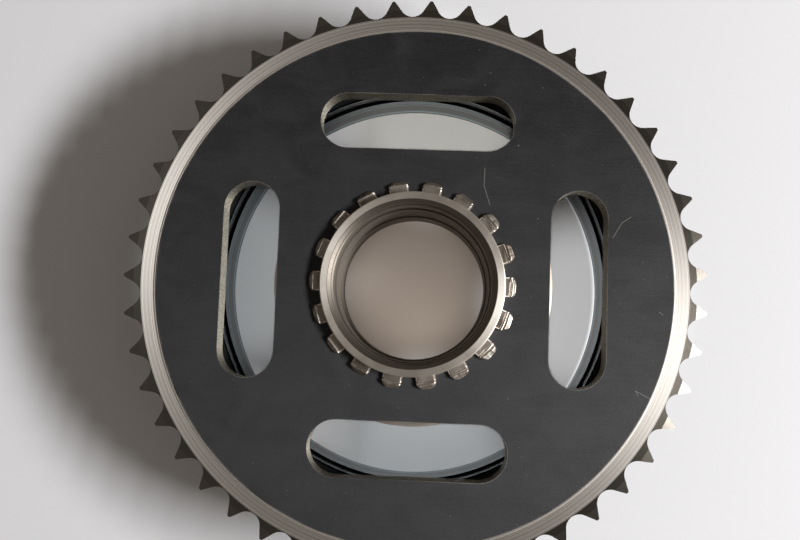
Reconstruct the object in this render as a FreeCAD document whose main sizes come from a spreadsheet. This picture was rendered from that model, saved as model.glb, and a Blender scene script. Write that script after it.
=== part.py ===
# Chain sprocket: a toothed plate staked onto a splined hub, with a drum ring behind the plate.
#
# The axis of the wheel is Z. The hub stands on its rear end at Z = 0, and the side with the staked
# dogs and the bright ring faces +Z. All lengths are in millimetres and all angles in degrees.
import FreeCAD, Part

import math
import operator
import os
from types import SimpleNamespace
from typing import NamedTuple

import Sketcher

PARTS_FOLDER = "parts"
SHEET_NAME = "Sizes"

# Driving dimensions, one cell each: alias, value, meaning.
DRIVING_SIZES = [
    ("chain_pitch", 12.7, "pitch of the roller chain"),
    ("tooth_count", 47, "teeth round the rim"),
    ("roller_diameter", 8.51, "roller of the chain"),
    ("seat_radius", 4.4, "radius of the seat between two teeth"),
    ("flank_angle", 31, "slope of a tooth's flank from the middle of its gap"),
    ("tip_height", 1.85, "how far the teeth stand above the pitch circle"),
    ("relief_start", 2.3, "how far outside the root circle the teeth's side relief starts"),
    ("relief_depth", 1.4, "how far that relief thins each side of a tooth at its tip"),
    ("rim_band_width", 5.4, "turned band between the root circle and the black face"),
    ("rim_step", 0.5, "how far the band lies below the black face, on both sides"),
    ("step_land", 0.4, "narrow land half way down that step, on the front"),
    ("step_slope", 0.2, "run of each slope beside the land"),
    ("plate_thickness", 8, "stock that the plate is cut from"),
    ("slot_count", 4, "long holes in the plate"),
    ("slot_radius", 54.45, "distance of a slot's middle line from the axis"),
    ("slot_width", 18.7, "width of a slot"),
    ("slot_length", 65.3, "length of a slot over its round ends"),
    ("spline_clearance", 0.1, "gap between the dogs and their notches"),
    ("notch_bevel", 0.4, "bevel in the outer corners of a notch"),
    ("ring_wall", 4.45, "wall of the hub's ring, out from the bearing's seat"),
    ("ring_stand", 3, "how far the ring stands in front of the plate"),
    ("ring_break", 0.3, "broken outer edge of the ring"),
    ("root_stand", 0.1, "how far the spline's root stands outside the ring"),
    ("dog_count", 18, "dogs of the spline"),
    ("dog_reach", 2.9, "how far a dog reaches out from the ring"),
    ("dog_width", 6.3, "width of a dog"),
    ("dog_corner", 1.5, "rounded outer corners of a dog"),
    ("dog_stand", 1, "how far a dog stands in front of the plate"),
    ("lip_overhang", 0.4, "how far a staked end is spread over the plate"),
    ("lip_rise", 0.25, "how far a staked end is raised above its dog"),
    ("lip_edge", 0.5, "thickness of the spread lip at its rim"),
    ("stake_inset", 1.45, "start of the chisel cut, in from the dog's outside"),
    ("stake_width", 0.8, "width of the chisel cut"),
    ("stake_depth", 0.55, "depth of the chisel cut"),
    ("tail_length", 21.5, "hub behind its flange"),
    ("tail_wall", 5.5, "wall of the hub behind its flange, out from the bearing's seat"),
    ("tail_chamfer", 0.8, "chamfer on the hub's rear end"),
    ("flange_reach", 14, "how far the flange that backs the plate reaches past the dogs"),
    ("flange_thickness", 5, "thickness of that flange"),
    ("flange_step", 1.2, "depth of the step on the flange's front edge"),
    ("flange_land", 0.8, "width of the step on the flange's front edge"),
    ("flange_chamfer", 0.6, "chamfer on the flange's rear edge"),
    ("bearing_radius", 26, "seat of the bearing"),
    ("bearing_width", 15, "length of that seat"),
    ("clip_depth", 9.25, "front of the snap ring's groove below the ring's face"),
    ("clip_width", 2.15, "width of the snap ring's groove"),
    ("clip_bite", 1.5, "depth of the snap ring's groove, out from the bearing's seat"),
    ("lead_room", 0.3, "how much wider than the seat the bore in front of the groove is"),
    ("lead_slope", 0.5, "run of the slope above that bore"),
    ("mouth_depth", 1, "depth of the chamfer round the mouth"),
    ("mouth_slope", 1.1, "run of the chamfer round the mouth"),
    ("mouth_land", 1.9, "straight wall below that chamfer"),
    ("shoulder_reach", 0.5, "how far the shoulder behind the bearing reaches in"),
    ("rear_bevel", 1, "bevel of the bore at the rear end"),
    ("drum_radius", 65.6, "inside of the drum ring"),
    ("drum_wall", 5.9, "wall of the drum ring"),
    ("drum_depth", 23.5, "how far the drum ring reaches behind the plate"),
    ("drum_step", 0.8, "how much wider the drum's bore is next to the plate"),
    ("drum_step_depth", 6.5, "how far that wider bore reaches behind the plate"),
    ("drum_break", 0.8, "broken outer edge of the drum ring"),
    ("lip_bevel", 1.1, "bevel inside the drum ring's open edge"),
    ("weld_leg", 3, "fillet weld between the drum ring and the plate"),
]

SIGNS = {"+": operator.add, "-": operator.sub, "*": operator.mul, "/": operator.truediv}


class Size:
    """A size held twice: as the formula that the document follows, and as the number it gives now."""

    def __init__(self, formula, number):
        self.formula = formula
        self.number = number

    def __add__(self, other):
        return joined(self, "+", other)

    def __sub__(self, other):
        return joined(self, "-", other)

    def __mul__(self, other):
        return joined(self, "*", other)

    def __rmul__(self, other):
        return joined(other, "*", self)

    def __truediv__(self, other):
        return joined(self, "/", other)

    def __rtruediv__(self, other):
        return joined(other, "/", self)

    def __neg__(self):
        return Size(f"(-{self.formula})", -self.number)


class Corner(NamedTuple):
    """A corner of an outline that runs anticlockwise.

    A coordinate is a size, or a plain 0 where the corner lies on an axis. Where the edge that leaves
    the corner is an arc, `arc` is its radius. It bulges outwards, unless it is hollow.
    """

    x: object
    y: object
    arc: object = None
    hollow: bool = False


def as_size(value):
    """A size as it is, or a plain number as a size."""
    return value if isinstance(value, Size) else Size(str(value), value)


def joined(first, sign, second):
    """Two sizes or plain numbers joined by a sign, as one size."""
    first, second = as_size(first), as_size(second)
    return Size(f"({first.formula} {sign} {second.formula})", SIGNS[sign](first.number, second.number))


def root(square):
    """The square root of a size."""
    return Size(f"sqrt({square.formula})", math.sqrt(square.number))


def sine(angle):
    """The sine of an angle."""
    return Size(f"sin({angle.formula} * 1 deg)", math.sin(math.radians(angle.number)))


def cosine(angle):
    """The cosine of an angle."""
    return Size(f"cos({angle.formula} * 1 deg)", math.cos(math.radians(angle.number)))


def turned(x, y, angle):
    """The two coordinates of a point turned about the axis by an angle."""
    return (x * cosine(angle) - y * sine(angle), x * sine(angle) + y * cosine(angle))


def fill_sheet(sheet):
    """Writes every driving dimension to its own cell, with its meaning beside it."""
    for row, (alias, value, meaning) in enumerate(DRIVING_SIZES, start=1):
        sheet.set(f"A{row}", meaning)
        sheet.set(f"B{row}", str(value))
        sheet.setAlias(f"B{row}", alias)
    sheet.recompute()


def read_sizes(sheet):
    """Every cell of the sheet as a size, by its alias."""
    aliases = [alias for alias, _, _ in DRIVING_SIZES]
    return SimpleNamespace(**{alias: Size(f"{SHEET_NAME}.{alias}", sheet.get(alias)) for alias in aliases})


document = FreeCAD.newDocument("chain_sprocket")
size_sheet = document.addObject("Spreadsheet::Sheet", SHEET_NAME)
fill_sheet(size_sheet)
sizes = read_sizes(size_sheet)

# Radii of the toothed rim.
PITCH_RADIUS = sizes.chain_pitch / (2 * sine(180 / sizes.tooth_count))
ROOT_RADIUS = PITCH_RADIUS - sizes.roller_diameter / 2
TIP_RADIUS = PITCH_RADIUS + sizes.tip_height
RELIEF_RADIUS = ROOT_RADIUS + sizes.relief_start
FACE_RADIUS = ROOT_RADIUS - sizes.rim_band_width

# Radii and angle of the spline that the plate and the hub share.
RING_RADIUS = sizes.bearing_radius + sizes.ring_wall
SPLINE_ROOT = RING_RADIUS + sizes.root_stand
DOG_RADIUS = RING_RADIUS + sizes.dog_reach
LIP_RADIUS = DOG_RADIUS + sizes.lip_overhang
HALF_DOG = sizes.dog_width / 2
DOG_TURN = 360 / sizes.dog_count

# Heights above the hub's rear end.
PLATE_BACK = sizes.tail_length + sizes.flange_thickness
PLATE_FRONT = PLATE_BACK + sizes.plate_thickness
DOG_TOP = PLATE_FRONT + sizes.dog_stand
RING_TOP = PLATE_FRONT + sizes.ring_stand


def origin_feature(body, role):
    """One of the body's own planes or axes."""
    return next(item for item in body.Origin.OriginFeatures if item.Role == role)


def new_body(name):
    """A body whose label is the name of its piece."""
    body = document.addObject("PartDesign::Body", name)
    body.Label = name
    return body


def new_sketch(body, name, plane, height=None):
    """A sketch on one of the body's planes, lifted along it where a height is given."""
    sketch = body.newObject("Sketcher::SketchObject", name)
    sketch.AttachmentSupport = [(origin_feature(body, plane), "")]
    sketch.MapMode = "FlatFace"
    if height is not None:
        sketch.setExpression("AttachmentOffset.Base.z", height.formula)
    return sketch


def point_at(corner):
    """The present place of a corner."""
    return FreeCAD.Vector(as_size(corner.x).number, as_size(corner.y).number, 0)


def edge_from(corner, end):
    """The edge from a corner to the next point: a line, or the short arc that the corner names.

    A sketch only holds anticlockwise arcs, so a hollow one is drawn from its far end.
    """
    start = point_at(corner)
    if corner.arc is None:
        return Part.LineSegment(start, end)
    if corner.hollow:
        start, end = end, start
    chord = end - start
    rise = math.sqrt(max(corner.arc.number ** 2 - (chord.Length / 2) ** 2, 0))
    outward = FreeCAD.Vector(chord.y, -chord.x, 0).normalize()
    centre = (start + end) / 2 - outward * rise
    return Part.Arc(start, centre + outward * corner.arc.number, end)


def edge_ends(edge, start):
    """Which end of an edge, 1 or 2, is its first and which is its last along the outline."""
    forwards = edge.StartPoint.distanceToPoint(start) <= edge.EndPoint.distanceToPoint(start)
    return (1, 2) if forwards else (2, 1)


def place_corner(sketch, edge, end, corner):
    """Ties one end of an edge to its two coordinates, where a plain zero puts it on an axis."""
    for kind, axis, term in (("DistanceX", -2, corner.x), ("DistanceY", -1, corner.y)):
        if isinstance(term, Size):
            number = sketch.addConstraint(Sketcher.Constraint(kind, -1, 1, edge, end, term.number))
            sketch.setExpression(f"Constraints[{number}]", term.formula)
        else:
            sketch.addConstraint(Sketcher.Constraint("PointOnObject", edge, end, axis))


def closed_outline(sketch, corners):
    """Draws a closed outline through its corners and binds it to their sizes."""
    points = [point_at(corner) for corner in corners]
    for index, corner in enumerate(corners):
        following = (index + 1) % len(corners)
        sketch.addGeometry(edge_from(corner, points[following]), False)
    ends = [edge_ends(edge, point) for edge, point in zip(sketch.Geometry, points)]
    for index, corner in enumerate(corners):
        following = (index + 1) % len(corners)
        joint = ("Coincident", index, ends[index][1], following, ends[following][0])
        sketch.addConstraint(Sketcher.Constraint(*joint))
        place_corner(sketch, index, ends[index][0], corner)
    for index, corner in enumerate(corners):
        if corner.arc is not None:
            number = sketch.addConstraint(Sketcher.Constraint("Radius", index, corner.arc.number))
            sketch.setExpression(f"Constraints[{number}]", corner.arc.formula)


def revolve(body, name, section):
    """Turns a section, whose corners are a radius and a height, once round the axis."""
    sketch = new_sketch(body, f"{name}_section", "XZ_Plane")
    closed_outline(sketch, [Corner(*corner) for corner in section])
    turn = body.newObject("PartDesign::Revolution", name)
    turn.Profile = sketch
    turn.ReferenceAxis = (sketch, ["V_Axis"])
    turn.Angle = 360
    document.recompute()


def cut_round(body, name, count, outline, height=None):
    """Cuts an outline upwards through the body, and repeats the cut round the axis."""
    sketch = new_sketch(body, f"{name}_outline", "XY_Plane", height)
    closed_outline(sketch, [Corner(*corner) for corner in outline])
    before = body.Shape.Volume
    pocket = body.newObject("PartDesign::Pocket", name)
    pocket.Profile = sketch
    pocket.Type = "ThroughAll"
    pocket.Reversed = True
    document.recompute()
    single = body.Shape.Volume
    pattern = body.newObject("PartDesign::PolarPattern", f"{name}_pattern")
    pattern.Originals = [pocket]
    pattern.Axis = (origin_feature(body, "Z_Axis"), [""])
    pattern.Angle = 360
    pattern.setExpression("Occurrences", count.formula)
    body.Tip = pattern
    document.recompute()
    if not body.Shape.Volume < single < before:
        raise RuntimeError(f"{name} cuts nothing")


def build_sprocket_plate():
    """The toothed plate: a turned blank with its slots, the gaps between its teeth and its notches."""
    body = new_body("sprocket_plate")
    turn_plate_blank(body)
    cut_slots(body)
    cut_tooth_gaps(body)
    cut_notches(body)
    return body


def turn_plate_blank(body):
    """The round blank, stepped down to its rim and relieved at the teeth's tips, on both sides."""
    hole = SPLINE_ROOT + sizes.spline_clearance
    half_step = sizes.rim_step / 2
    land_start = FACE_RADIUS + sizes.step_slope
    land_end = land_start + sizes.step_land
    band_start = land_end + sizes.step_slope
    low_band, high_band = PLATE_BACK + sizes.rim_step, PLATE_FRONT - sizes.rim_step
    section = [
        (hole, PLATE_BACK),
        (FACE_RADIUS, PLATE_BACK),
        (band_start, low_band),
        (RELIEF_RADIUS, low_band),
        (TIP_RADIUS, low_band + sizes.relief_depth),
        (TIP_RADIUS, high_band - sizes.relief_depth),
        (RELIEF_RADIUS, high_band),
        (band_start, high_band),
        (land_end, PLATE_FRONT - half_step),
        (land_start, PLATE_FRONT - half_step),
        (FACE_RADIUS, PLATE_FRONT),
        (hole, PLATE_FRONT),
    ]
    revolve(body, "blank", section)


def cut_slots(body):
    """The long holes, straight along their sides and round at their ends."""
    half_width = sizes.slot_width / 2
    half_length = sizes.slot_length / 2
    half_straight = half_length - half_width
    inner, outer = sizes.slot_radius - half_width, sizes.slot_radius + half_width
    outline = [
        (inner, -half_straight, half_width),
        (sizes.slot_radius, -half_length, half_width),
        (outer, -half_straight),
        (outer, half_straight, half_width),
        (sizes.slot_radius, half_length, half_width),
        (inner, half_straight),
    ]
    cut_round(body, "slot", sizes.slot_count, outline)


def cut_tooth_gaps(body):
    """The gaps between the teeth: a round seat for the roller between two straight flanks."""
    centre = ROOT_RADIUS + sizes.seat_radius
    seat_x = centre - sizes.seat_radius * sine(sizes.flank_angle)
    seat_y = sizes.seat_radius * cosine(sizes.flank_angle)
    clear_x = TIP_RADIUS + sizes.tip_height
    flank_slope = sine(sizes.flank_angle) / cosine(sizes.flank_angle)
    clear_y = seat_y + (clear_x - seat_x) * flank_slope
    outline = [
        (clear_x, clear_y),
        (seat_x, seat_y, sizes.seat_radius),
        (ROOT_RADIUS, 0, sizes.seat_radius),
        (seat_x, -seat_y),
        (clear_x, -clear_y),
    ]
    cut_round(body, "tooth_gap", sizes.tooth_count, outline)


def cut_notches(body):
    """The notches round the middle hole that the hub's dogs sit in."""
    side = HALF_DOG + sizes.spline_clearance
    end = DOG_RADIUS + sizes.spline_clearance
    bevel = sizes.notch_bevel
    start = RING_RADIUS - sizes.dog_reach
    outline = [
        (start, -side),
        (end - bevel, -side),
        (end, bevel - side),
        (end, side - bevel),
        (end - bevel, side),
        (start, side),
    ]
    cut_round(body, "notch", sizes.dog_count, outline)


def build_splined_hub():
    """The hub: one turning, with the gaps of its spline cut down to the flange."""
    body = new_body("splined_hub")
    turn_hub(body)
    cut_spline(body)
    return body


def turn_hub(body):
    """The hub's section: its outside up to the staked ends of the dogs, then down through its bore."""
    tail = sizes.bearing_radius + sizes.tail_wall
    flange = DOG_RADIUS + sizes.flange_reach
    step = flange - sizes.flange_land
    step_height = PLATE_BACK - sizes.flange_step
    stake_start = DOG_RADIUS - sizes.stake_inset
    stake_end = stake_start + sizes.stake_width
    lead = sizes.bearing_radius + sizes.lead_room
    mouth = lead + sizes.lead_slope
    land_top = RING_TOP - sizes.mouth_depth
    land_bottom = land_top - sizes.mouth_land
    clip = sizes.bearing_radius + sizes.clip_bite
    clip_front = RING_TOP - sizes.clip_depth
    clip_back = clip_front - sizes.clip_width
    through = sizes.bearing_radius - sizes.shoulder_reach
    shoulder = clip_back - sizes.bearing_width
    section = [
        (through + sizes.rear_bevel, 0),
        (tail - sizes.tail_chamfer, 0),
        (tail, sizes.tail_chamfer),
        (tail, sizes.tail_length),
        (flange - sizes.flange_chamfer, sizes.tail_length),
        (flange, sizes.tail_length + sizes.flange_chamfer),
        (flange, step_height),
        (step, step_height),
        (step, PLATE_BACK),
        (DOG_RADIUS, PLATE_BACK),
        (DOG_RADIUS, PLATE_FRONT),
        (LIP_RADIUS, PLATE_FRONT),
        (LIP_RADIUS, PLATE_FRONT + sizes.lip_edge),
        (stake_end, DOG_TOP + sizes.lip_rise),
        (stake_start + sizes.stake_width / 2, DOG_TOP - sizes.stake_depth),
        (stake_start, DOG_TOP),
        (RING_RADIUS, DOG_TOP),
        (RING_RADIUS, RING_TOP - sizes.ring_break),
        (RING_RADIUS - sizes.ring_break, RING_TOP),
        (mouth + sizes.mouth_slope, RING_TOP),
        (mouth, land_top),
        (mouth, land_bottom),
        (lead, land_bottom - sizes.lead_slope),
        (lead, clip_front),
        (clip, clip_front),
        (clip, clip_back),
        (sizes.bearing_radius, clip_back),
        (sizes.bearing_radius, shoulder),
        (through, shoulder),
        (through, sizes.rear_bevel),
    ]
    revolve(body, "turning", section)


def cut_spline(body):
    """The gaps that leave the dogs standing: from one dog's side round the root to the next dog's."""
    corner = sizes.dog_corner
    root_start = root(SPLINE_ROOT * SPLINE_ROOT - HALF_DOG * HALF_DOG)
    corner_start = LIP_RADIUS - corner
    corner_side = HALF_DOG - corner
    clear = LIP_RADIUS + sizes.dog_stand
    outline = [
        (root_start, HALF_DOG),
        (corner_start, HALF_DOG, corner, True),
        (LIP_RADIUS, corner_side),
        (clear, corner_side),
        turned(clear, -corner_side, DOG_TURN),
        (*turned(LIP_RADIUS, -corner_side, DOG_TURN), corner, True),
        turned(corner_start, -HALF_DOG, DOG_TURN),
        (*turned(root_start, -HALF_DOG, DOG_TURN), SPLINE_ROOT, True),
    ]
    cut_round(body, "spline_gap", sizes.dog_count, outline, PLATE_BACK)


def build_drum_ring():
    """The open ring behind the plate: a stepped bore, a bevelled lip and the weld that holds it."""
    body = new_body("drum_ring")
    lip = PLATE_BACK - sizes.drum_depth
    outside = sizes.drum_radius + sizes.drum_wall
    wide_bore = sizes.drum_radius + sizes.drum_step
    step_height = PLATE_BACK - sizes.drum_step_depth
    section = [
        (sizes.drum_radius + sizes.lip_bevel, lip),
        (outside - sizes.drum_break, lip),
        (outside, lip + sizes.drum_break),
        (outside, PLATE_BACK - sizes.weld_leg),
        (outside + sizes.weld_leg, PLATE_BACK),
        (wide_bore, PLATE_BACK),
        (wide_bore, step_height),
        (sizes.drum_radius, step_height),
        (sizes.drum_radius, lip + sizes.lip_bevel),
    ]
    revolve(body, "ring", section)
    return body


def write_parts(bodies):
    """Checks every object and every piece, then writes one file for each piece."""
    document.recompute()
    for item in document.Objects:
        if "Invalid" in item.State or "Error" in item.State:
            raise RuntimeError(f"{item.Label} did not build: {item.State}")
    for body in bodies:
        if body.Shape.isNull() or not body.Shape.isValid():
            raise RuntimeError(f"{body.Label} is not a valid solid")
    os.makedirs(PARTS_FOLDER, exist_ok=True)
    for body in bodies:
        body.Shape.exportStep(os.path.join(PARTS_FOLDER, f"{body.Label}.step"))
        print(f"{body.Label}: {len(body.Shape.Solids)} solid, {body.Shape.Volume / 1000:.1f} cm3")


write_parts([build_sprocket_plate(), build_splined_hub(), build_drum_ring()])
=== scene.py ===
"""Looks of a chain sprocket: its finishes, its staked dog ends, its weld, and the studio round it.

The CAD nodes come from the frame and keep their shapes. Lengths in this file are in millimetres,
unless a name ends in _m, and the meshes are turned to metres when they are made.
"""
import logging
import math
import random
from dataclasses import dataclass
from enum import Enum

import bpy
from mathutils import Matrix, Vector


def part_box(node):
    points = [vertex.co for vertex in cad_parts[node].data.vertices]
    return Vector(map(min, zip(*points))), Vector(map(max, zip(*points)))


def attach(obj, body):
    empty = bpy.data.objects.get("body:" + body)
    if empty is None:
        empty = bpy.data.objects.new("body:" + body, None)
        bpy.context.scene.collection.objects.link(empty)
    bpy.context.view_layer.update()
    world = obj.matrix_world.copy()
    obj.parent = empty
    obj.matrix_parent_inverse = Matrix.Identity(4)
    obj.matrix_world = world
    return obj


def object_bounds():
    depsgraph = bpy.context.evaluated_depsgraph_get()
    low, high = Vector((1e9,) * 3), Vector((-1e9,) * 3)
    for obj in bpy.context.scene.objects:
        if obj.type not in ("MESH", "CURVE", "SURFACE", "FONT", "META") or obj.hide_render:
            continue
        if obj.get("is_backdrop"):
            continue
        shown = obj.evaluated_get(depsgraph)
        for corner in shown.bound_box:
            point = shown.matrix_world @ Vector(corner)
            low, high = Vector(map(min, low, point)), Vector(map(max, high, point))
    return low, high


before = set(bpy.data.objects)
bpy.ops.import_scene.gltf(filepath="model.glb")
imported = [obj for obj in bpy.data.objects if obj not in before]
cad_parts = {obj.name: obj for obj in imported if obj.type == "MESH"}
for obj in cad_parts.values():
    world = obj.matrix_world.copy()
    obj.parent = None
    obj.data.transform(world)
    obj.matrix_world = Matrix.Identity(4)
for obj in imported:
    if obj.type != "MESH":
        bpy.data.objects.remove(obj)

LOG = logging.getLogger("chain_sprocket")
M_PER_MM = 0.001
MM_PER_M = 1000.0

# The sockets of a Mix node: for numbers, for vectors and for colours.
MIX_NUMBER_A, MIX_NUMBER_B = 2, 3
MIX_VECTOR_A, MIX_VECTOR_B, MIX_VECTOR_RESULT = 4, 5, 1
MIX_A, MIX_B, MIX_RESULT = 6, 7, 2

# Turned faces spread the light across their rings, a quarter turn from the shader's own start.
ACROSS_RINGS = 0.25
# Noise seldom goes past these values.
NOISE_LOW, NOISE_HIGH = 0.3, 0.7


class Slot(Enum):
    """The record's material slots."""

    PLATE = "black_plate"
    HUB = "turned_steel"
    DRUM = "drum_iron"


def linear(colour: str) -> tuple[float, float, float, float]:
    """Turns an sRGB hex colour to linear light.

    Args:
        colour: The colour as "#rrggbb".

    Returns:
        Red, green, blue and an alpha of 1, in linear light.
    """
    channels = [int(colour[start:start + 2], 16) / 255 for start in (1, 3, 5)]
    bright = [c / 12.92 if c <= 0.04045 else ((c + 0.055) / 1.055) ** 2.4 for c in channels]
    return (*bright, 1.0)


class NodeGraph:
    """The nodes of a finish or of the room, with coordinates in the object's own millimetres."""

    def __init__(self, owner: bpy.types.ID) -> None:
        """Empties the owner's node tree.

        Args:
            owner: The material or the world that the nodes belong to.
        """
        self.owner = owner
        self.owner.use_nodes = True
        self.tree = self.owner.node_tree
        self.tree.nodes.clear()

    def add(self, kind: str, *values: object, out: int | str = 0, inputs: dict | None = None,
            **settings: object) -> bpy.types.NodeSocket:
        """Adds a node, sets it up and links it.

        Args:
            kind: The node's type without its ShaderNode prefix.
            values: What goes into the first inputs, in order: a socket, or a plain value.
            out: The output that is wanted, by its place or its name.
            inputs: What goes into further inputs, by their name or place.
            settings: The node's own settings.

        Returns:
            The wanted output.
        """
        node = self.tree.nodes.new(f"ShaderNode{kind}")
        for key, value in settings.items():
            setattr(node, key, value)
        for key, value in [*enumerate(values), *(inputs or {}).items()]:
            if isinstance(value, bpy.types.NodeSocket):
                self.tree.links.new(value, node.inputs[key])
            elif value is not None:
                node.inputs[key].default_value = value
        return node.outputs[out] if len(node.outputs) else None

    def place(self) -> bpy.types.NodeSocket:
        """Returns the point on the object, in millimetres."""
        return self.add("VectorMath", self.add("TexCoord", out="Object"), operation="SCALE",
                        inputs={"Scale": MM_PER_M})

    def radius(self) -> bpy.types.NodeSocket:
        """Returns the distance from the wheel's axis, in millimetres."""
        level = self.add("VectorMath", self.place(), (1, 1, 0), operation="MULTIPLY")
        return self.add("VectorMath", level, operation="LENGTH", out="Value")

    def height(self) -> bpy.types.NodeSocket:
        """Returns the height above the table, in millimetres."""
        return self.add("SeparateXYZ", self.place(), out="Z")

    def levelness(self) -> bpy.types.NodeSocket:
        """Returns 1 on a face that lies square to the axis and 0 on a wall along it."""
        upward = self.add("SeparateXYZ", self.add("TexCoord", out="Normal"), out="Z")
        return self.add("Math", upward, operation="ABSOLUTE")

    def stretched(self, x: float, y: float, z: float) -> bpy.types.NodeSocket:
        """Gives coordinates for a pattern whose features are longer one way than another.

        Args:
            x: Length of a feature along X, in millimetres.
            y: Length of a feature along Y, in millimetres.
            z: Length of a feature along Z, in millimetres.

        Returns:
            The coordinates, where a feature is about one unit long.
        """
        return self.add("VectorMath", self.place(), (1 / x, 1 / y, 1 / z), operation="MULTIPLY")

    def grain(self, coordinates: bpy.types.NodeSocket, detail: float = 2.0,
              distortion: float = 0.0) -> bpy.types.NodeSocket:
        """Gives cloudy noise at the size of its coordinates.

        Args:
            coordinates: Where to read the noise, with one unit to a feature.
            detail: How many finer layers lie over it.
            distortion: How much it is stirred.

        Returns:
            Noise between 0 and 1.
        """
        return self.add("TexNoise", inputs={"Vector": coordinates, "Scale": 1.0, "Detail": detail,
                                            "Distortion": distortion})

    def rings(self, line: float) -> bpy.types.NodeSocket:
        """Gives the lines that a turning tool leaves: round on faces, and level on walls.

        Args:
            line: Width of a line, in millimetres.

        Returns:
            Noise between 0 and 1 that only changes across the lines.
        """
        level = self.levelness()
        across = self.add("Math", self.radius(), level, operation="MULTIPLY")
        along = self.add("Math", self.height(), self.add("Math", 1.0, level, operation="SUBTRACT"),
                         across, operation="MULTIPLY_ADD")
        where = self.add("Math", along, line, operation="DIVIDE")
        return self.add("TexNoise", inputs={"W": where, "Scale": 1.0, "Detail": 3.0,
                                            "Roughness": 0.7}, noise_dimensions="1D")

    def edges(self, width: float) -> bpy.types.NodeSocket:
        """Finds sharp edges, where handling rubs a finish bright and where a highlight is painted.

        Args:
            width: How far the rubbing reaches from the edge, in millimetres.

        Returns:
            width: How far the rubbing and the painted highlight reach from the edge, in
                millimetres.
        """
        softened = self.add("Bevel", width * M_PER_MM, samples=4)
        likeness = self.add("VectorMath", softened, self.add("NewGeometry", out="Normal"),
                            operation="DOT_PRODUCT", out="Value")
        # The cosines of 26 and 6 degrees, by which an edge's softened normal is turned.
        return self.add("MapRange", likeness, 0.90, 0.995, 1.0, 0.0)

    def blend(self, mask: bpy.types.NodeSocket, low: object, high: object) -> bpy.types.NodeSocket:
        """Goes from one colour to another with a mask.

        Args:
            mask: 0 for the first colour and 1 for the second.
            low: The first colour, or its socket.
            high: The second colour, or its socket.

        Returns:
            The colour between them.
        """
        return self.add("Mix", mask, out=MIX_RESULT, data_type="RGBA",
                        inputs={MIX_A: low, MIX_B: high})

    def mixed(self, mask: bpy.types.NodeSocket, low: object, high: object) -> bpy.types.NodeSocket:
        """Goes from one number to another with a mask.

        Args:
            mask: 0 for the first number and 1 for the second.
            low: The first number, or its socket.
            high: The second number, or its socket.

        Returns:
            The number between them.
        """
        return self.add("Mix", mask, inputs={MIX_NUMBER_A: low, MIX_NUMBER_B: high})

    def finish(self, **sockets: object) -> bpy.types.Material:
        """Ends the tree in one Principled shader.

        Args:
            sockets: What goes into the shader, by its sockets' names with _ for a space.

        Returns:
            The finished material.
        """
        inputs = {name.replace("_", " "): value for name, value in sockets.items()}
        shader = self.add("BsdfPrincipled", inputs=inputs)
        self.add("OutputMaterial", shader)
        return self.owner

    def relief(self, height: bpy.types.NodeSocket, strength: float,
               depth: float) -> bpy.types.NodeSocket:
        """Tilts the surface with a pattern.

        Args:
            height: The pattern, where 1 is high.
            strength: How much of the tilt is kept, from 0 to 1.
            depth: How deep the pattern is, in millimetres.

        Returns:
            The tilted normal.
        """
        return self.add("Bump", inputs={"Height": height, "Strength": strength,
                                        "Distance": depth * M_PER_MM})


@dataclass(frozen=True)
class Scratch:
    """A handling scratch through the scale, from one point of the face to another.

    A real one is a few hundredths wide, and it is drawn coarser so that it shows.
    """

    x: float
    y: float
    to_x: float
    to_y: float
    width: float = 0.12


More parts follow.
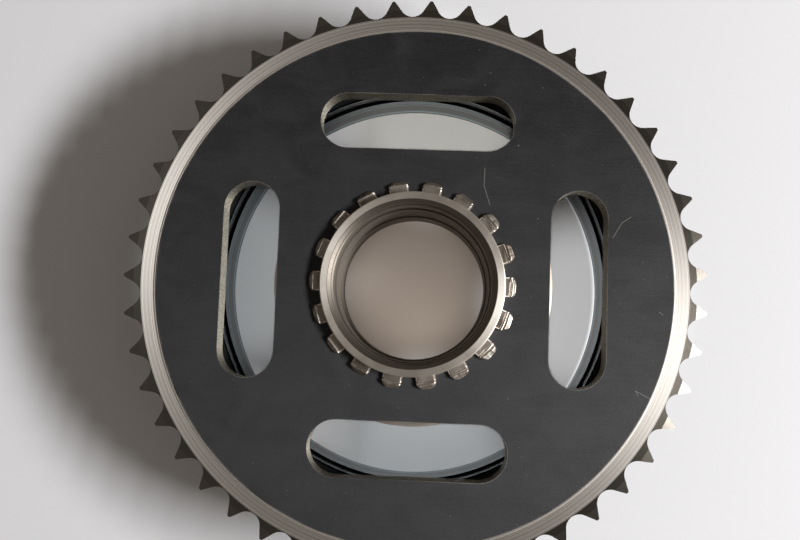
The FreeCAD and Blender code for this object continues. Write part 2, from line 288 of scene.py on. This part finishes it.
@dataclass(frozen=True)
class ScaledPlate:
    """Hot rolled steel plate with its mill scale left on, and a rim that was turned bright.

    The scale is what makes the face black and slightly glossy, with faint streaks along the
    rolling. The turned rim is bare steel, whose fine rings draw the light out into two fans. The
    teeth's bevels came off a finer cut, so they stay dark unless they face the light. The walls of
    the slots are cut and pitted, and the back was faced clean of its scale inside the drum.
    """

    face_radius: float = 85.5
    face_edge: float = 0.25
    tooth_radius: float = 90.5
    tooth_edge: float = 0.3
    drum_radius: float = 66.5
    drum_edge: float = 0.1
    back_height: float = 26.7
    # Rolling stretches every mark on the scale along X. A streak is drawn a little coarse.
    streak: tuple[float, float, float] = (12.0, 0.35, 1.0)
    cloud: tuple[float, float, float] = (16.0, 11.0, 16.0)
    # The grain of the scale is nearer to 0.1 mm, and is drawn as coarse as it needs to show.
    grit: float = 0.45
    streak_share: float = 0.16
    cloud_share: float = 0.50
    grit_share: float = 0.34
    # Noise of this size leaves specks about 0.2 mm wide, where the scale has chipped.
    chip: float = 0.9
    chip_range: tuple[float, float] = (0.735, 0.76)
    mottle_range: tuple[float, float] = (0.40, 0.60)
    wall_range: tuple[float, float] = (0.40, 0.60)
    pit_range: tuple[float, float] = (0.35, 0.65)
    line_range: tuple[float, float] = (0.36, 0.62)
    edge_wear_and_highlight_range: tuple[float, float] = (0.35, 0.60)
    # A finishing cut leaves a line each 0.1 mm or so, drawn coarser so that the lines show.
    turned_line: float = 0.24
    # Edges are drawn lighter, partly as handling wear and partly as a painted highlight where light
    # catches them.
    edge_wear_and_highlight: float = 0.3
    scale_roughness: tuple[float, float] = (0.54, 0.46)
    steel_roughness: tuple[float, float] = (0.56, 0.70)
    tooth_roughness: float = 0.34
    wall_roughness: float = 0.55
    # How deep the fine patterns are, and how much of the streaks shows in them.
    relief: float = 0.05
    relief_strength: float = 0.7
    streak_relief: float = 0.4
    gloss: float = 0.38
    anisotropic: float = 0.75
    scale_dark: str = "#171616"
    scale_light: str = "#2c2b2d"
    speck: str = "#77746f"
    steel_light: str = "#f4efe8"
    steel_dark: str = "#b4aea5"
    tooth: str = "#77726a"
    wall: str = "#b0aa9c"
    wall_pits: str = "#55534c"
    # Colour of the edges: bare steel from wear, and a painted highlight.
    worn_and_highlit: str = "#a29c94"
    scratches: tuple[Scratch, ...] = (
        Scratch(22.8, 39.5, 22.7, 33.4), Scratch(22.7, 33.4, 24.8, 27.1),
        Scratch(65.4, 17.4, 68.3, 22.5), Scratch(68.3, 22.5, 71.2, 24.5),
        Scratch(73.4, -32.2, 78.1, -34.6), Scratch(73.4, -32.2, 74.3, -33.8),
        Scratch(80.7, -6.4, 82.0, -7.3))

    def material(self) -> bpy.types.Material:
        """Returns the plate's material."""
        graph = NodeGraph(bpy.data.materials.new("hot_rolled_plate_with_turned_rim"))
        radius, level = graph.radius(), graph.levelness()
        wall = graph.add("MapRange", level, *self.wall_range, 1.0, 0.0)
        rim = graph.add("MapRange", radius, self.face_radius, self.face_radius + self.face_edge)
        tooth = graph.add("MapRange", radius, self.tooth_radius,
                          self.tooth_radius + self.tooth_edge)
        in_drum = graph.add("MapRange", radius, self.drum_radius,
                            self.drum_radius + self.drum_edge, 1.0, 0.0)
        behind = graph.add("Math", graph.height(), self.back_height, operation="LESS_THAN")
        back = graph.add("Math", in_drum, behind, operation="MULTIPLY")
        bare = graph.add("Math", wall, graph.add("Math", rim, back, operation="MAXIMUM"),
                         operation="MAXIMUM")
        streaks = graph.grain(graph.stretched(*self.streak), detail=4.0)
        clouds = graph.grain(graph.stretched(*self.cloud), detail=6.0, distortion=0.6)
        grit = graph.grain(graph.stretched(self.grit, self.grit, self.grit), detail=3.0)
        rings = graph.rings(self.turned_line)
        mottle = graph.add("Math", clouds, self.cloud_share, operation="MULTIPLY")
        for pattern, share in ((streaks, self.streak_share), (grit, self.grit_share)):
            mottle = graph.add("Math", pattern, share, mottle, operation="MULTIPLY_ADD")
        scale = graph.blend(graph.add("MapRange", mottle, *self.mottle_range),
                            linear(self.scale_dark), linear(self.scale_light))
        chips = graph.grain(graph.stretched(self.chip, self.chip, self.chip), detail=5.0)
        chips = graph.add("MapRange", chips, *self.chip_range)
        marks = graph.add("Math", chips, self.scratched(graph), operation="MAXIMUM")
        scale = graph.blend(marks, scale, linear(self.speck))
        # Painted edge highlight together with wear: the scale is lightened along sharp edges, in
        # patches.
        patchy = graph.add("MapRange", clouds, *self.edge_wear_and_highlight_range)
        edge_wear_and_highlight = graph.add("Math", graph.edges(self.edge_wear_and_highlight), patchy, operation="MULTIPLY")
        scale = graph.blend(edge_wear_and_highlight, scale, linear(self.worn_and_highlit))
        cut = graph.blend(graph.add("MapRange", grit, *self.pit_range),
                          linear(self.wall_pits), linear(self.wall))
        line = graph.add("MapRange", rings, *self.line_range)
        steel = graph.blend(line, linear(self.steel_dark), linear(self.steel_light))
        steel = graph.blend(tooth, steel, linear(self.tooth))
        colour = graph.blend(bare, scale, graph.blend(wall, steel, cut))
        on_scale = graph.add("MapRange", mottle, *self.mottle_range, *self.scale_roughness)
        on_steel = graph.add("MapRange", line, 0.0, 1.0, *self.steel_roughness)
        on_steel = graph.mixed(tooth, on_steel, self.tooth_roughness)
        on_steel = graph.mixed(wall, on_steel, self.wall_roughness)
        roughness = graph.mixed(bare, on_scale, on_steel)
        rolled = graph.add("Math", streaks, self.streak_relief, grit, operation="MULTIPLY_ADD")
        relief = graph.mixed(bare, rolled, graph.mixed(wall, rings, grit))
        round_about = graph.add("Tangent", direction_type="RADIAL", axis="Z")
        grain_line = graph.add("Mix", bare, data_type="VECTOR", out=MIX_VECTOR_RESULT,
                               inputs={MIX_VECTOR_A: (0, 1, 0), MIX_VECTOR_B: round_about})
        return graph.finish(
            Base_Color=colour, Metallic=bare, Roughness=roughness, Tangent=grain_line,
            Normal=graph.relief(relief, self.relief_strength, self.relief),
            Specular_IOR_Level=self.gloss, Anisotropic=self.anisotropic,
            Anisotropic_Rotation=ACROSS_RINGS)

    def scratched(self, graph: NodeGraph) -> bpy.types.NodeSocket:
        """Draws the scratches.

        Args:
            graph: The plate's node tree.

        Returns:
            1 on a scratch and 0 beside it.
        """
        place = graph.add("VectorMath", graph.place(), (1, 1, 0), operation="MULTIPLY")
        marks = 0.0
        for scratch in self.scratches:
            start = Vector((scratch.x, scratch.y, 0))
            run = Vector((scratch.to_x, scratch.to_y, 0)) - start
            away = graph.add("VectorMath", place, start, operation="SUBTRACT")
            along = graph.add("VectorMath", away, run / run.length_squared,
                              operation="DOT_PRODUCT", out="Value")
            along = graph.add("Math", along, operation="ADD", use_clamp=True, inputs={1: 0.0})
            foot = graph.add("VectorMath", run, operation="SCALE", inputs={"Scale": along})
            gap = graph.add("VectorMath", away, foot, operation="DISTANCE", out="Value")
            mark = graph.add("MapRange", gap, scratch.width * 0.5, scratch.width, 1.0, 0.0)
            marks = graph.add("Math", mark, marks, operation="MAXIMUM")
        return marks


@dataclass(frozen=True)
class TurnedSteel:
    """Carbon steel from the lathe, with a thin film of old oil.

    The tool's rings give each face a broad, silky sheen, and the oil warms it towards beige. The
    bore is painted darker, as shade in the deep bore.
    """

    name: str = "turned_carbon_steel"
    steel: str = "#f6efe4"
    oiled: str = "#e2d9cd"
    # Painted shade: the bore's colour, darker than the faces.
    bore: str = "#7d766d"
    bore_radius: float = 28.0
    bore_edge: float = 0.1
    # The feed of a roughing cut, in millimetres.
    line: float = 0.45
    # The oil lies in patches of a finger's width.
    film: float = 9.0
    film_range: tuple[float, float] = (0.42, 0.72)
    grit: float = 0.3
    grit_share: float = 0.45
    relief: float = 0.02
    relief_strength: float = 0.5
    roughness: float = 0.50
    roughness_spread: tuple[float, float] = (-0.05, 0.08)
    anisotropic: float = 0.6
    ring_share: float = 1.0

    def material(self) -> bpy.types.Material:
        """Returns the turned steel's material."""
        graph = NodeGraph(bpy.data.materials.new(self.name))
        rings = graph.rings(self.line)
        film = graph.grain(graph.stretched(self.film, self.film, self.film), detail=4.0,
                           distortion=0.8)
        grit = graph.grain(graph.stretched(self.grit, self.grit, self.grit))
        stain = graph.add("MapRange", film, *self.film_range)
        colour = graph.blend(stain, linear(self.steel), linear(self.oiled))
        # Painted shade in the deep bore: inside bore_radius the colour darkens.
        bore = graph.add("MapRange", graph.radius(), self.bore_radius,
                         self.bore_radius + self.bore_edge, 1.0, 0.0)
        colour = graph.blend(bore, colour, linear(self.bore))
        smooth, rough = (self.roughness + change for change in self.roughness_spread)
        roughness = graph.add("MapRange", grit, NOISE_LOW, NOISE_HIGH, smooth, rough)
        turned = graph.add("Math", rings, self.ring_share, operation="MULTIPLY")
        relief = graph.add("Math", grit, self.grit_share, turned, operation="MULTIPLY_ADD")
        return graph.finish(
            Base_Color=colour, Metallic=1.0, Roughness=roughness,
            Normal=graph.relief(relief, self.relief_strength, self.relief),
            Anisotropic=self.anisotropic, Anisotropic_Rotation=ACROSS_RINGS,
            Tangent=graph.add("Tangent", direction_type="RADIAL", axis="Z"))


@dataclass(frozen=True)
class DrumIron:
    """Cast iron of the drum ring, bored inside and left with its dark skin outside.

    The bore is drawn nearly black. Its thin light lines are partly the boring tool's marks and
    partly painted reflections.
    """

    bore_radius: float = 66.9
    bore_edge: float = 0.2
    # The tool's marks are under 1 mm apart, and only those that a broad noise picks are drawn, as
    # light lines that are also painted reflections.
    line: float = 4.0
    line_range: tuple[float, float] = (0.54, 0.60)
    grit: float = 0.5
    bore_roughness: tuple[float, float] = (0.28, 0.40)
    skin_roughness: float = 0.55
    # How much of the grit shows in the bore, and on the skin.
    grit_share: tuple[float, float] = (0.1, 1.5)
    relief: float = 0.03
    relief_strength: float = 0.6
    # Colour of the light lines: partly bare iron on the tool's marks, partly a painted bluish
    # reflection.
    bright: str = "#8fa6af"
    dull: str = "#0f1619"
    skin: str = "#2b2d2e"

    def material(self) -> bpy.types.Material:
        """Returns the drum's material."""
        graph = NodeGraph(bpy.data.materials.new("bored_drum_iron"))
        rings = graph.rings(self.line)
        grit = graph.grain(graph.stretched(self.grit, self.grit, self.grit))
        outside = graph.add("MapRange", graph.radius(), self.bore_radius,
                            self.bore_radius + self.bore_edge)
        # Painted reflections: light lines on the dark bore, along the tool's marks.
        ridge_and_reflection_lines = graph.add("MapRange", rings, *self.line_range)
        bore = graph.blend(ridge_and_reflection_lines, linear(self.dull), linear(self.bright))
        in_bore = graph.add("MapRange", rings, NOISE_LOW, NOISE_HIGH, *self.bore_roughness)
        gritty = graph.add("MapRange", outside, 0.0, 1.0, *self.grit_share)
        relief = graph.add("Math", grit, gritty, rings, operation="MULTIPLY_ADD")
        return graph.finish(
            Base_Color=graph.blend(outside, bore, linear(self.skin)), Metallic=1.0,
            Roughness=graph.mixed(outside, in_bore, self.skin_roughness),
            Normal=graph.relief(relief, self.relief_strength, self.relief))


@dataclass(frozen=True)
class PaleTable:
    """White laminate, a little glossy, so that it gives back a soft image of what stands on it."""

    colour: str = "#eeeeef"
    roughness: float = 0.32
    # The slight orange peel of a pressed laminate.
    peel: float = 1.2
    relief: float = 0.01
    relief_strength: float = 0.1

    def material(self) -> bpy.types.Material:
        """Returns the table's material."""
        graph = NodeGraph(bpy.data.materials.new("white_laminate"))
        peel = graph.grain(graph.stretched(self.peel, self.peel, self.peel))
        return graph.finish(Base_Color=linear(self.colour), Roughness=self.roughness,
                            Normal=graph.relief(peel, self.relief_strength, self.relief))


def add_piece(name: str, points: list[tuple[float, float, float]], faces: list[tuple[int, ...]],
              material: bpy.types.Material) -> bpy.types.Object:
    """Makes a smooth mesh piece that rides on the part.

    Args:
        name: The piece's name.
        points: Its points, in millimetres.
        faces: Its faces, as places in the list of points.
        material: Its finish.

    Returns:
        The new object.
    """
    mesh = bpy.data.meshes.new(name)
    mesh.from_pydata([tuple(c * M_PER_MM for c in point) for point in points], [], faces)
    mesh.materials.append(material)
    mesh.polygons.foreach_set("use_smooth", [True] * len(mesh.polygons))
    mesh.update()
    piece = bpy.data.objects.new(name, mesh)
    bpy.context.scene.collection.objects.link(piece)
    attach(piece, "root")
    return piece


def dress(node: str, material: bpy.types.Material) -> None:
    """Gives a CAD node its finish.

    Args:
        node: The node's name.
        material: The finish.
    """
    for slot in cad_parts[node].material_slots:
        slot.material = material


def smooth_step(value: float, start: float, end: float) -> float:
    """Goes smoothly from 0 at start to 1 at end, and stays there."""
    share = min(max((value - start) / (end - start), 0.0), 1.0)
    return share * share * (3 - 2 * share)


def hump(value: float, middle: float, width: float) -> float:
    """Returns a round hump: 1 at its middle, and near 0 two widths away."""
    return math.exp(-((value - middle) / width) ** 2)


class Wobble:
    """A smooth, repeatable wander between about -1 and 1, for marks made by hand."""

    def __init__(self, source: random.Random, waves: int = 5) -> None:
        """Draws the waves.

        Args:
            source: The random numbers to draw from.
            waves: How many waves are added up.
        """
        self.waves = [(source.uniform(0.5, 1.0) / order, source.uniform(0.7, 1.3) * order,
                       source.uniform(0, math.tau)) for order in range(1, waves + 1)]
        self.total = sum(size for size, _, _ in self.waves)

    def at(self, place: float) -> float:
        """Returns the wander at a place."""
        return sum(size * math.sin(pace * place + start)
                   for size, pace, start in self.waves) / self.total


@dataclass
class StakedHub:
    """The hub's finish, and the spread ends of its dogs, each struck by hand with a chisel.

    A blow leaves a groove across the dog, throws up a lip outside it and drives the end outwards.
    The dogs on the hard side took the harder blows.
    """

    dog_count: int = 18
    ring_overlap: float = 0.1
    ring_radius: float = 30.45
    half_dog: float = 3.15
    corner: float = 1.5
    lip_radius: float = 33.75
    dog_stand: float = 1.0
    skin: float = 0.05
    groove_radius: float = 32.3
    groove_depth: float = 0.20
    groove_width: float = 0.30
    lip_middle: float = 32.8
    lip_rise: float = 0.34
    lip_width: float = 0.55
    lip_uneven: float = 0.25
    groove_wander: float = 0.12
    lip_wander: float = 0.10
    least_blow: float = 0.45
    added_blow: float = 0.7
    blow_spread: float = 0.2
    most_lean: float = 0.12
    edge_fall: float = 0.6
    edge_round: float = 1.0
    side_fall: float = 0.25
    side_round: float = 0.5
    least_spread: float = 0.1
    spread_wander: float = 0.1
    spread_pace: float = 1.6
    spread_start: float = 0.45
    corner_lag: float = 0.5
    spreads: tuple[float, ...] = (0.05, 0.85, 1.1, 0.1, 0.3, 0.1, 0, 0, 0, 0, 0, 0, 0.1, 0.7, 0.75,
                                  0.65, 1.1, 0.85)
    hard_side: float = math.radians(25)
    rows: int = 46
    columns: int = 36

    def build(self, material: bpy.types.Material) -> bpy.types.Object:
        """Builds the spread ends as one piece.

        Args:
            material: The finish of the struck metal.

        Returns:
            The new object.
        """
        points, faces = [], []
        plate_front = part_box("sprocket_plate")[1].z * MM_PER_M
        for dog in range(self.dog_count):
            first = len(points)
            turn = math.tau * dog / self.dog_count
            force = 0.5 + 0.5 * math.cos(turn + self.hard_side)
            grid = self.dog_end(random.Random(dog + 1), force, self.spreads[dog])
            for radial, across, rise in grid:
                x = radial * math.cos(turn) - across * math.sin(turn)
                y = radial * math.sin(turn) + across * math.cos(turn)
                points.append((x, y, plate_front + rise))
            width = self.columns + 3
            for row in range(self.rows + 1):
                for column in range(self.columns + 2):
                    corner = first + row * width + column
                    faces.append((corner, corner + width, corner + width + 1, corner + 1))
        return add_piece("staked_dog_ends", points, faces, material)

    def dog_end(self, source: random.Random, force: float,
                spread: float) -> list[tuple[float, float, float]]:
        """Shapes one dog's end.

        Args:
            source: The random numbers of this dog.
            force: How hard this side of the spline was struck, from 0 to 1.
            spread: How far this dog's end was driven outwards.

        Returns:
            The points, row by row outwards, each as its distance from the axis, its place across
            the dog and its height above the plate's face.
        """
        groove, lip, reach = Wobble(source), Wobble(source), Wobble(source)
        blow = source.uniform(1 - self.blow_spread, 1 + self.blow_spread)
        blow *= self.least_blow + self.added_blow * force
        lean = source.uniform(-self.most_lean, self.most_lean)
        points = []
        for row in range(self.rows + 2):
            share = min(row / self.rows, 1.0)
            inside = self.ring_radius - self.ring_overlap
            radial = inside + share * (self.lip_radius - inside)
            half = self.half_width(radial)
            for column in range(-1, self.columns + 2):
                side = min(max(column / self.columns, 0.0), 1.0) * 2 - 1
                across = side * half
                skirt = row > self.rows or column < 0 or column > self.columns
                crown = 1 - self.corner_lag * (across / self.half_dog) ** 4
                wander = self.spread_wander * (1 + reach.at(self.spread_pace * across))
                driven = self.least_spread + spread * crown + wander
                outward = driven * smooth_step(share, self.spread_start, 1.0)
                rise = 0.0 if skirt else self.top(radial, across, blow, lean, groove, lip)
                points.append((radial + outward, across * (1 + self.skin / self.half_dog), rise))
        return points

    def half_width(self, radial: float) -> float:
        """Returns half the dog's width at a distance from the axis, with its corner rounded."""
        past = min(max(radial - (self.lip_radius - self.corner), 0.0), self.corner)
        return self.half_dog - self.corner + math.sqrt(self.corner ** 2 - past ** 2)

    def top(self, radial: float, across: float, blow: float, lean: float, groove: Wobble,
            lip: Wobble) -> float:
        """Gives the height of the struck end.

        Args:
            radial: Distance from the axis.
            across: Place across the dog.
            blow: How hard this dog was struck, about 1.
            lean: How far the chisel leaned.
            groove: Wander of the groove.
            lip: Wander of the lip.

        Returns:
            The height above the plate's face.
        """
        cut_at = self.groove_radius + lean * across + self.groove_wander * groove.at(across)
        lip_at = self.lip_middle + lean * across + self.lip_wander * lip.at(across)
        depth = self.groove_depth * blow * hump(radial, cut_at, self.groove_width)
        raised = self.lip_rise * (1 + self.lip_uneven * lip.at(across))
        raised *= hump(radial, lip_at, self.lip_width)
        edge = self.edge_fall * smooth_step(radial, self.lip_radius - self.edge_round,
                                            self.lip_radius + self.skin)
        half = self.half_width(radial)
        side = self.side_fall * smooth_step(abs(across), half - self.side_round, half)
        return self.dog_stand + self.skin - depth + raised - edge - side

    def dress(self, material: bpy.types.Material) -> None:
        """Gives the hub its finish."""
        dress("splined_hub", material)


@dataclass
class WeldedDrum:
    """The drum ring's finish, and the weld that holds it behind the plate.

    The bead's face slopes at 45 degrees over the plain fillet, and its ripples bow along the seam.
    """

    outside: float = 71.5
    leg: float = 3.0
    skin: float = -0.02
    crown: float = 0.45
    ripple: float = 0.16
    ripple_pitch: float = 2.1
    ripple_bow: float = 0.9
    unevenness: float = 0.12
    swells_round: float = 9.0
    steps_per_ripple: int = 7
    rows: int = 10

    def build(self, material: bpy.types.Material) -> bpy.types.Object:
        """Builds the weld's rippled bead.

        Args:
            material: The finish of the weld.

        Returns:
            The new object.
        """
        plate_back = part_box("sprocket_plate")[0].z * MM_PER_M
        ripples = round(math.tau * (self.outside + self.leg / 2) / self.ripple_pitch)
        columns = ripples * self.steps_per_ripple
        wander = Wobble(random.Random(7))
        points, faces = [], []
        for row in range(self.rows + 1):
            share = row / self.rows
            for column in range(columns):
                angle = math.tau * column / columns
                phase = column / self.steps_per_ripple + self.ripple_bow * (2 * share - 1) ** 2
                uneven = self.unevenness * wander.at(self.swells_round * angle)
                crown = self.crown + self.ripple * (phase % 1) + uneven
                proud = (crown * math.sin(math.pi * share) + self.skin) * math.sqrt(0.5)
                radial = self.outside + self.leg * share + proud
                height = plate_back - self.leg * (1 - share) - proud
                points.append((radial * math.cos(angle), radial * math.sin(angle), height))
        for row in range(self.rows):
            for column in range(columns):
                following = (column + 1) % columns
                faces.append((row * columns + column, (row + 1) * columns + column,
                              (row + 1) * columns + following, row * columns + following))
        return add_piece("weld_bead", points, faces, material)

    def dress(self, material: bpy.types.Material) -> None:
        """Gives the drum ring its finish."""
        dress("drum_ring", material)


@dataclass
class ToothedPlate:
    """The toothed plate's finish."""

    def dress(self, material: bpy.types.Material) -> None:
        """Gives the plate its finish."""
        dress("sprocket_plate", material)


@dataclass(frozen=True)
class Fill:
    """A soft spot over one opening.

    It is given by the middle and the reach of its patch on the table, its watts and its colour.
    """

    name: str
    x: float
    y: float
    reach: float
    power: float
    colour: str


@dataclass
class Studio:
    """The pale table, the window, a spot for each opening, the dim room and the camera."""

    table_reach_m: float = 2.5
    window_azimuth: float = -8.0
    window_elevation: float = 31.0
    window_distance_m: float = 1.9
    window_width_m: float = 0.90
    window_height_m: float = 0.25
    window_power: float = 55.0
    window_colour: str = "#fdfdff"
    fill_place_m: tuple[float, float, float] = (0.005, -0.018, 0.314)
    fill_radius_m: float = 0.004
    fill_blend: float = 0.85
    fills: tuple[Fill, ...] = (
        Fill("fill_bore", -1.0, 2.0, 36.0, 0.58, "#ffe8d4"),
        Fill("fill_slot_far", 7.0, 64.0, 42.0, 1.9, "#fffef6"),
        Fill("fill_slot_right", 62.0, -5.0, 42.0, 1.9, "#fdfeff"),
        Fill("fill_slot_near", 6.0, -61.0, 42.0, 1.3, "#f4fbff"),
        Fill("fill_slot_left", -63.0, 3.0, 42.0, 1.2, "#f4fbff"))
    room_side: str = "#6f6963"
    room_top: str = "#4f4c4a"
    room_top_from: float = 0.86
    lens: float = 38.25
    sensor: float = 36.0
    nearest_m: float = 0.01
    camera_back: float = 280.26
    camera_right: float = 4.05
    camera_up: float = -4.61
    lean_x: float = -4.704
    lean_y: float = -1.811
    roll: float = -2.0

    def build(self) -> None:
        """Builds all that stands round the part."""
        table = self.build_table()
        self.build_window()
        self.build_fills(table)
        self.build_room()
        self.build_camera()
        bpy.context.scene.view_settings.view_transform = "Standard"

    def build_table(self) -> bpy.types.Object:
        """Returns the table, laid under the part."""
        reach = self.table_reach_m
        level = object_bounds()[0][2]
        mesh = bpy.data.meshes.new("table")
        corners = [(x * reach, y * reach, level) for x, y in ((-1, -1), (1, -1), (1, 1), (-1, 1))]
        mesh.from_pydata(corners, [], [(0, 1, 2, 3)])
        mesh.materials.append(PaleTable().material())
        table = bpy.data.objects.new("table", mesh)
        bpy.context.scene.collection.objects.link(table)
        table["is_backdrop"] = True
        return table

    def build_window(self) -> None:
        """Hangs the window's soft light to the right of the part."""
        data = bpy.data.lights.new("window", "AREA")
        data.shape = "RECTANGLE"
        data.size, data.size_y = self.window_width_m, self.window_height_m
        data.energy = self.window_power
        data.color = linear(self.window_colour)[:3]
        azimuth, elevation = math.radians(self.window_azimuth), math.radians(self.window_elevation)
        towards = Vector((math.cos(azimuth) * math.cos(elevation),
                          math.sin(azimuth) * math.cos(elevation), math.sin(elevation)))
        window = bpy.data.objects.new("window", data)
        window.location = towards * self.window_distance_m
        window.rotation_euler = towards.to_track_quat("Z", "Y").to_euler()
        bpy.context.scene.collection.objects.link(window)

    def build_fills(self, table: bpy.types.Object) -> None:
        """Sets a small spot over the part for each opening, which only the table under it takes.

        They stand in for the light that the shiny walls under the plate throw down on the table.

        Args:
            table: The table.
        """
        takers = bpy.data.collections.new("lit_by_fills")
        takers.objects.link(table)
        place = Vector(self.fill_place_m)
        for fill in self.fills:
            data = bpy.data.lights.new(fill.name, "SPOT")
            data.energy = fill.power
            data.color = linear(fill.colour)[:3]
            data.shadow_soft_size = self.fill_radius_m
            data.spot_size = 2 * math.atan(fill.reach * M_PER_MM / place.z)
            data.spot_blend = self.fill_blend
            lamp = bpy.data.objects.new(fill.name, data)
            lamp.location = place
            aim = Vector((fill.x, fill.y, 0)) * M_PER_MM - place
            lamp.rotation_euler = aim.to_track_quat("-Z", "Y").to_euler()
            bpy.context.scene.collection.objects.link(lamp)
            lamp.light_linking.receiver_collection = takers

    def build_room(self) -> None:
        """Fills the room with dim light, darker overhead."""
        room = NodeGraph(bpy.data.worlds.new("room"))
        upward = room.add("SeparateXYZ", room.add("TexCoord", out="Generated"), out="Z")
        overhead = room.add("MapRange", upward, self.room_top_from,
                            interpolation_type="SMOOTHSTEP")
        colour = room.blend(overhead, linear(self.room_side), linear(self.room_top))
        room.add("OutputWorld", room.add("Background", colour))
        bpy.context.scene.world = room.owner

    def build_camera(self) -> None:
        """Sets the camera over the plate's face, where the photograph was taken from."""
        data = bpy.data.cameras.new("camera")
        data.lens, data.sensor_width = self.lens, self.sensor
        data.clip_start = self.nearest_m
        lean = Vector((math.radians(self.lean_x), math.radians(self.lean_y), 0))
        turn = Matrix.Rotation(lean.length, 4, lean)
        turn = turn @ Matrix.Rotation(math.radians(self.roll), 4, "Z")
        back = Vector((self.camera_right, self.camera_up, -self.camera_back)) * M_PER_MM
        face = Vector((0, 0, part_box("sprocket_plate")[1].z))
        camera = bpy.data.objects.new("camera", data)
        camera.matrix_world = Matrix.Translation(face) @ turn.inverted() @ Matrix.Translation(-back)
        bpy.context.scene.collection.objects.link(camera)
        bpy.context.scene.camera = camera


def main() -> None:
    """Builds the part's looks and its studio, in order."""
    logging.basicConfig(level=logging.INFO, format="%(name)s: %(message)s")
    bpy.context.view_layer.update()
    ToothedPlate().dress(ScaledPlate().material())
    LOG.info("plate dressed")
    hub = StakedHub()
    hub.dress(TurnedSteel().material())
    # The chisel has closed the turned rings and pressed the oil in, so the ends look browner.
    struck = TurnedSteel(name="struck_carbon_steel", steel="#b3aba1", oiled="#746a5f",
                         roughness=0.46, anisotropic=0.0, ring_share=0.1)
    ends = hub.build(struck.material())
    LOG.info("hub dressed, %s has %d faces", ends.name, len(ends.data.polygons))
    drum = WeldedDrum()
    iron = DrumIron().material()
    drum.dress(iron)
    bead = drum.build(iron)
    LOG.info("drum dressed, %s has %d faces", bead.name, len(bead.data.polygons))
    Studio().build()
    LOG.info("studio built")


if __name__ == "__main__":
    main()
